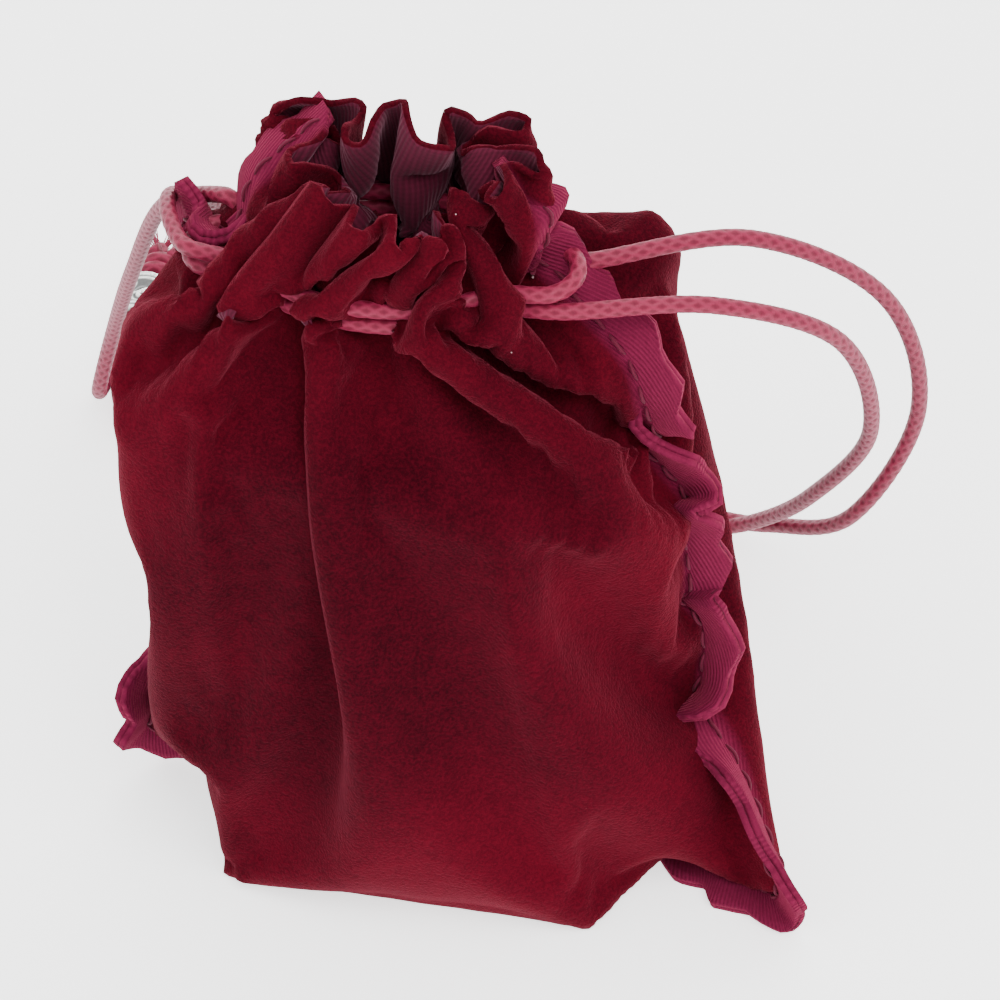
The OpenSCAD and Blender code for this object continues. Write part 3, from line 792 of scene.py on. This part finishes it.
CORD_REST = 2.8
STRAND_OFFSET = 0.9
EXIT_HALF, EXIT_REACH = 3.4, 15.0
CORD_APART = 1.05       # each cord's height from the middle of the neck
RING_ARC = 61           # degrees each way round the neck that a cord lies on
TURN_OUT = 1.45         # from the exits to the middle of the turn round the seam
RIGHT_FRONT = [(20, 1, 74), (33, 5.5, 72.5), (43, 13.5, 61), (43, 22, 39), (34, 29, 20), (25, 36, 6.5)]
RIGHT_BACK = [(20, 8, 74), (34, 16, 71.5), (45, 24, 57), (46.5, 28.5, 36), (38, 30, 16.5), (27, 36, 6.5)]
LEFT_FRONT = [(-20, 2, 76), (-25, 13, 71), (-25, 29, 51), (-28, 39, 25), (-39, 42, 4.5), (-48, 42, 1.8)]
LEFT_BACK = [(-18, 9, 76), (-28, 17, 65), (-38, 28, 43), (-47, 39.5, 21), (-52, 43, 7)]


def ring_line(hand):
    """The cord inside the neck: in at the front, round the far seam and back out."""
    drop = -CORD_APART * hand
    cx, cy, height = NECK[0], NECK[1], NECK[2] + drop
    front = [(hand * EXIT_REACH, cy - EXIT_HALF, height)]
    front += [neck_place(RING_ARC * share * hand, 0, FRONT, drop)
              for share in (1, 2 / 3, 1 / 3, 0, -1 / 3, -2 / 3, -1)]
    turn = [(cx - hand * (EXIT_REACH + TURN_OUT + EXIT_HALF * sin(radians(a))),
             cy - EXIT_HALF * cos(radians(a)), height) for a in range(0, 181, 30)]
    back = [(x, 2 * cy - y, z) for x, y, z in front[::-1]]
    return refined(front + turn + back, 6)


def strand_lines():
    """Points of each of the four free strands, by name, from the neck to the knot."""
    lines = {}
    for name, hand, front_back, middle in (
            ("right_front", 1, FRONT, RIGHT_FRONT), ("right_back", 1, BACK, RIGHT_BACK),
            ("left_front", -1, FRONT, LEFT_FRONT), ("left_back", -1, BACK, LEFT_BACK)):
        start = (hand * EXIT_REACH, NECK[1] + front_back * EXIT_HALF, NECK[2] - CORD_APART * hand)
        if hand > 0:
            y = 38.5 + front_back * STRAND_OFFSET
            end = [(18.7, y, CORD_REST), (14, y, CORD_REST), (8, y, CORD_REST), (1.5, y, CORD_REST)]
        else:
            x = -52.5 - front_back * STRAND_OFFSET
            end = [(x, 46.8, CORD_REST), (x, 51, CORD_REST), (x, 57, CORD_REST), (x, 64.0, CORD_REST)]
        lines[name] = spaced(refined([start, *middle, *end], 12), 0.9)
    return lines


def braid(path, look, step=0.24, sides=20):
    """Points, faces and the raised attribute of a braided cord along a path."""
    line = spaced(path, step)
    along = np.arange(len(line))[:, None] * step
    around = np.arange(sides)[None] / sides
    turn = look.plait / MM
    over = abs(np.cos(pi * (5 * around + along / turn * 2)))
    under = abs(np.cos(pi * (5 * around - along / turn * 2)))
    raised = np.maximum(over ** 0.8 * 1.0, under ** 0.8 * 0.92)
    radii = look.diameter / MM / 2 * (0.86 + 0.17 * raised)
    points, faces = tube(line, radii, sides)
    return points, faces, raised.ravel()


def cord_piece(name, paths, look, material, body, replaces=()):
    made = [braid(path, look) for path in paths]
    points, faces = joined([(p, f) for p, f, _ in made])
    return add_piece(name, points, faces, [material], body, replaces,
                     {"raised": np.concatenate([r for _, _, r in made])})


def placed(points, centre, axis):
    """Points along local X turned to an axis and put at a centre."""
    turn = np.array(Vector((1, 0, 0)).rotation_difference(Vector(axis)).to_matrix())
    return np.asarray(points) @ turn.T + np.array(centre)


def knot_paths(seed):
    """Overhand knot of the two strands, along local X from the bead side, with its two short tails."""
    rng = np.random.default_rng(seed)
    turns = np.linspace(0, 1, 60)
    winding = [(lerp(0.9, 4.1, t), 1.42 * cos(tau * 2.15 * t + 0.4), 1.42 * sin(tau * 2.15 * t + 0.4))
               for t in turns]
    across = [(lerp(4.0, 0.9, t), 1.62 * cos(2.2 + pi * 0.8 * t) * (1 + 0.12 * sin(pi * t)),
               1.62 * sin(2.2 + pi * 0.8 * t) * (1 + 0.12 * sin(pi * t))) for t in turns[::6]]
    core = [[(-0.4, side * 0.85, 0.0), (1.2, side * 0.6, 0.1), (3.0, side * 0.5, 0.0),
             (5.0, side * 0.75, -0.3), (6.3, side * 1.15, -0.7)] for side in (-1, 1)]
    fibres = []
    for side in (-1, 1):
        for _ in range(26):
            angle, spread = rng.uniform(0, tau), rng.uniform(0.2, 1.1)
            root = np.array([6.0, side * 1.1 + 0.5 * cos(angle), -0.6 + 0.5 * sin(angle)])
            reach = rng.uniform(1.6, 2.9)
            tip = root + (reach, spread * cos(angle) * 1.5 + side * 0.5, spread * sin(angle) * 1.3)
            fibres.append(refined([root, lerp(root, tip, 0.5) + rng.normal(0, 0.12, 3), tip], 3))
    return [refined(winding, 2), refined(across, 6), *[refined(c, 6) for c in core]], fibres


def bead_shape(look, length=6.2, radius=2.7, bore=2.0):
    """A carved column bead along local X: grooved rope rings at both ends, scrolls between them."""
    rings, sides = 96, 144
    x = np.linspace(-length / 2, length / 2, rings)[:, None]
    a = (np.arange(sides) * tau / sides)[None]
    end = length / 2 - abs(x)
    rope = 0.5 + 0.5 * np.sin(a * 22 + np.sign(x) * end * 5.0)
    band = (np.exp(-((end - 0.42) / 0.27) ** 2) * (0.78 + 0.22 * rope)
            + np.exp(-((end - 1.12) / 0.16) ** 2) * 0.72)
    scroll = np.zeros((rings, sides))
    for column in range(4):
        for row, flip in ((-1, 1), (1, -1)):
            centre = tau * (column + 0.25 * (row + 1)) / 4
            u = radius * ((a - centre + pi) % tau - pi)
            w = x - row * 0.78
            far, way = np.sqrt(u * u + w * w), np.arctan2(w * flip, u)
            curl = 0.5 + 0.5 * np.cos(far * 7.2 - way * flip * row + 0.6)
            scroll = np.maximum(scroll, curl ** 1.4 * np.exp(-(far / 1.15) ** 4))
    leaf = np.exp(-((x - 0.5 * np.sin(a * 4)) / 0.17) ** 2) * 0.8
    middle = np.maximum(scroll, leaf * (1 - np.exp(-((end - 2.6) / 1.2) ** 2) * 0.15)) * ramp(end, 1.2, 1.5)
    height = np.maximum(band, middle)
    rounding = 0.5 * np.clip(1 - end / 0.35, 0, 1) ** 2
    outer = radius - look.relief / MM + look.relief / MM * height - rounding * 0.5
    outer_points = np.stack([np.broadcast_to(x, outer.shape), outer * np.cos(a), outer * np.sin(a)],
                            -1)
    lining = 12
    inner_x = np.linspace(length / 2, -length / 2, lining)[:, None]
    inner_r = bore + 0.12 * np.clip(1 - (length / 2 - abs(inner_x)) / 0.4, 0, 1) ** 2
    inner_points = np.stack([np.broadcast_to(inner_x, (lining, sides)), inner_r * np.cos(a),
                             inner_r * np.sin(a)], -1)
    points = np.concatenate([outer_points, inner_points]).reshape(-1, 3)
    total = rings + lining
    faces = [(i * sides + s, ((i + 1) % total) * sides + s, ((i + 1) % total) * sides + (s + 1) % sides,
              i * sides + (s + 1) % sides) for i in range(total) for s in range(sides)]
    recess = np.concatenate([(1 - height).ravel(), np.full(lining * sides, 0.8)])
    return points, faces, recess


# ---------------------------------------------------------------- operators

MADE = {}


class Maker(Operator):
    """Makes one group of pieces, and stops with an error if it can't."""

    bl_options = {"REGISTER", "UNDO"}

    def execute(self, context):
        self.make(context)
        return {"FINISHED"}


class POUCH_OT_stage(Maker):
    """Make the floor, the lights and the camera"""
    bl_idname = "pouch.stage"
    bl_label = "Stage"

    def make(self, context):
        look, scene = context.scene.pouch_stage, context.scene
        paper = Finish("paper", Roughness=0.9, Specular_IOR_Level=0.2, Emission_Color=(1, 1, 1, 1),
                       Emission_Strength=1.5)
        shade = paper.noise(9.0, 2.0)
        tone = paper.blend(shade, tuple(0.985 * c for c in look.floor), tuple(look.floor))
        material = paper.use(Base_Color=tone)
        half, rise, back, level = 3.0, 1.6, 2.2, 0.9
        bend = [(y, 0.0) for y in (-half, level)] + [
            (level + (back - level) * sin(t), (back - level) * (1 - cos(t)))
            for t in np.linspace(0.12, pi / 2, 12)]
        bend.append((back, rise + back))
        points = [(x, y, z) for y, z in bend for x in (-half, half)]
        faces = [(2 * i, 2 * i + 1, 2 * i + 3, 2 * i + 2) for i in range(len(bend) - 1)]
        mesh = bpy.data.meshes.new("floor")
        mesh.from_pydata(points, [], faces)
        mesh.polygons.foreach_set("use_smooth", [True] * len(faces))
        mesh.materials.append(material)
        floor = bpy.data.objects.new("floor", mesh)
        scene.collection.objects.link(floor)
        world = bpy.data.worlds.new("studio")
        world.use_nodes = True
        world.node_tree.nodes["Background"].inputs["Color"].default_value = (1, 1, 1, 1)
        world.node_tree.nodes["Background"].inputs["Strength"].default_value = 1.55
        scene.world = world
        for name, place, size, power in (("key", (0.34, -0.26, 0.70), 0.42, look.key),
                                         ("fill", (-0.45, -0.30, 0.55), 0.5, look.key * 0.25),
                                         ("rim", (0.05, 0.62, 0.50), 0.5, look.key * 0.3)):
            light = bpy.data.lights.new(name, "AREA")
            light.size, light.energy = size, power
            lamp = bpy.data.objects.new(name, light)
            lamp.location = place
            lamp.rotation_euler = (Vector(place) - Vector((0, 0, 0.04))).to_track_quat("Z", "Y").to_euler()
            scene.collection.objects.link(lamp)
        camera = bpy.data.cameras.new("camera")
        eye = bpy.data.objects.new("camera", camera)
        scene.collection.objects.link(eye)
        eye.location = (0.1533, -0.3763, 0.4795)
        toward = Vector((-0.1278, 0.0418, -1.0))
        straight = Quaternion((0, 0, 1), radians(10.1)) @ Quaternion((1, 0, 0), radians(40))
        eye.rotation_mode = "QUATERNION"
        eye.rotation_quaternion = straight @ Vector((0, 0, -1)).rotation_difference(toward)
        camera.lens = 212
        camera.sensor_width = 36
        camera.clip_start = 0.01
        camera.dof.use_dof = False
        scene.camera = eye


class POUCH_OT_beads(Maker):
    """Make the two carved silver beads that slide on the cords"""
    bl_idname = "pouch.beads"
    bl_label = "Beads"

    def make(self, context):
        look = context.scene.pouch_bead
        silver = silver_finish(look)
        points, faces, recess = bead_shape(look)
        for name, node, body, centre, axis in (
                ("bead_right_carved", "bead_right", RIGHT, (5.4, 38.5, CORD_REST), (1, 0, 0)),
                ("bead_left_carved", "bead_left", LEFT, (-52.5, 60.1, CORD_REST), (0, 1, 0))):
            MADE[node] = add_piece(name, placed(points, centre, axis), faces, [silver], body,
                                   (node,), {"recess": recess})


class POUCH_OT_knots(Maker):
    """Make the overhand knots with their frayed tails"""
    bl_idname = "pouch.knots"
    bl_label = "Knots"

    def make(self, context):
        look = context.scene.pouch_cord
        MADE["cord finish"] = cord_finish(look)
        for name, node, start, axis, seed in (
                ("knot_right_tied", "knot_right", (2.0, 38.5, CORD_REST), (-1, 0, 0), 3),
                ("knot_left_tied", "knot_left", (-52.5, 63.5, CORD_REST), (0, 1, 0), 8)):
            thick, fibres = knot_paths(seed)
            made = [braid(placed(path, start, axis), look) for path in thick]
            parts = [(p, f) for p, f, _ in made]
            raised = [r for _, _, r in made]
            for fibre in fibres:
                points, faces = tube(placed(fibre, start, axis), np.linspace(0.11, 0.05, len(fibre)), 5)
                parts.append((points, faces))
                # The frayed fibres count as raised, so they take part of the painted highlight of the raised
                # strands.
                raised.append(np.full(len(points), 0.9))
            points, faces = joined(parts)
            points[:, 2] = np.maximum(points[:, 2], 0.06)
            MADE[node] = add_piece(name, points, faces, [MADE["cord finish"]], POUCH, (node,),
                                   {"raised": np.concatenate(raised)})


class POUCH_OT_cords(Maker):
    """Make the two drawcords: a loop in the neck and two free strands each"""
    bl_idname = "pouch.cords"
    bl_label = "Cords"

    def make(self, context):
        look = context.scene.pouch_cord
        if "knot_left" not in MADE or "bead_left" not in MADE:
            raise RuntimeError("make the beads and the knots before the cords")
        finish = MADE["cord finish"]
        for name, line in strand_lines().items():
            hand = name.split("_")[0]
            strand = cord_piece("cord_" + name, [line], look, finish, POUCH)
            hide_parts("cord_" + hand)
        for hand, sign in (("right", 1), ("left", -1)):
            cord_piece("cord_" + hand + "_loop", [ring_line(sign)], look, finish, POUCH, ("cord_" + hand,))


class POUCH_OT_velvet(Maker):
    """Drape the two velvet panels round the gift and draw them in at the neck"""
    bl_idname = "pouch.velvet"
    bl_label = "Velvet panels"

    def make(self, context):
        look = context.scene.pouch_velvet
        pouch = Pouch()
        points = pouch.settled(look.stiffness, look.steps)
        front, back = (VelvetPanel(pouch, points, side) for side in (FRONT, BACK))
        seam = MADE["seam"] = Seam(front, back)
        materials = [velvet_finish(look), reverse_finish(look)]
        for panel, name, node in ((front, "front_velvet", "front_panel"),
                                  (back, "back_velvet", "back_panel")):
            panel.pink_top(look.pinking_pitch / MM, look.pinking_depth / MM)
            cloth_points, faces, attributes = panel.mesh(seam, look)
            piece = add_piece(name, cloth_points, faces, materials, POUCH, (node,), attributes)
            thick = piece.modifiers.new("thickness", "SOLIDIFY")
            thick.thickness, thick.offset, thick.material_offset = look.thickness, 0.0, 1
            thick.use_even_offset = False
            graph = bpy.context.evaluated_depsgraph_get()
            mesh = bpy.data.meshes.new_from_object(piece.evaluated_get(graph), preserve_all_data_layers=True,
                                                   depsgraph=graph)
            piece.modifiers.clear()
            piece.data = mesh
            for vert in mesh.vertices:
                vert.co.z = max(vert.co.z, 0.0)


class POUCH_OT_stitching(Maker):
    """Sew the stitches along both sides and the bottom"""
    bl_idname = "pouch.stitching"
    bl_label = "Stitching"

    def make(self, context):
        look, seam = context.scene.pouch_stitch, MADE.get("seam")
        if seam is None:
            raise RuntimeError("make the velvet panels before the stitching")
        thread = thread_finish(look)
        side = TOP - CORNER * 0.5
        total = seam.distance[-1]
        for name, node, chosen in (
                ("stitches_left", "side_stitching_left", lambda d: d < side),
                ("stitches_bottom", "bottom_stitching", lambda d: side <= d <= total - side),
                ("stitches_right", "side_stitching_right", lambda d: d > total - side)):
            points, faces = seam.stitches(chosen, look)
            add_piece(name, points, faces, [thread], POUCH, (node,))


class POUCH_PT_panel(Panel):
    """The pouch's pieces, in the order they are made"""
    bl_idname = "POUCH_PT_panel"
    bl_label = "Drawstring gift pouch"
    bl_space_type = "VIEW_3D"
    bl_region_type = "UI"
    bl_category = "Pouch"

    def draw(self, context):
        for maker in MAKERS:
            self.layout.operator(maker.bl_idname)


SETTINGS = {"pouch_velvet": VelvetSettings, "pouch_cord": CordSettings, "pouch_bead": BeadSettings,
            "pouch_stitch": StitchSettings, "pouch_stage": StageSettings}
MAKERS = (POUCH_OT_stage, POUCH_OT_beads, POUCH_OT_knots, POUCH_OT_cords, POUCH_OT_velvet, POUCH_OT_stitching)


def register():
    for kind in (*SETTINGS.values(), *MAKERS, POUCH_PT_panel):
        bpy.utils.register_class(kind)
    for name, kind in SETTINGS.items():
        setattr(bpy.types.Scene, name, PointerProperty(type=kind))


def unregister():
    for name in SETTINGS:
        delattr(bpy.types.Scene, name)
    for kind in (POUCH_PT_panel, *reversed(MAKERS), *reversed(SETTINGS.values())):
        bpy.utils.unregister_class(kind)


def main():
    register()
    bpy.ops.pouch.stage()
    bpy.ops.pouch.beads()
    bpy.ops.pouch.knots()
    bpy.ops.pouch.cords()
    bpy.ops.pouch.velvet()
    bpy.ops.pouch.stitching()


if __name__ == "__main__":
    main()
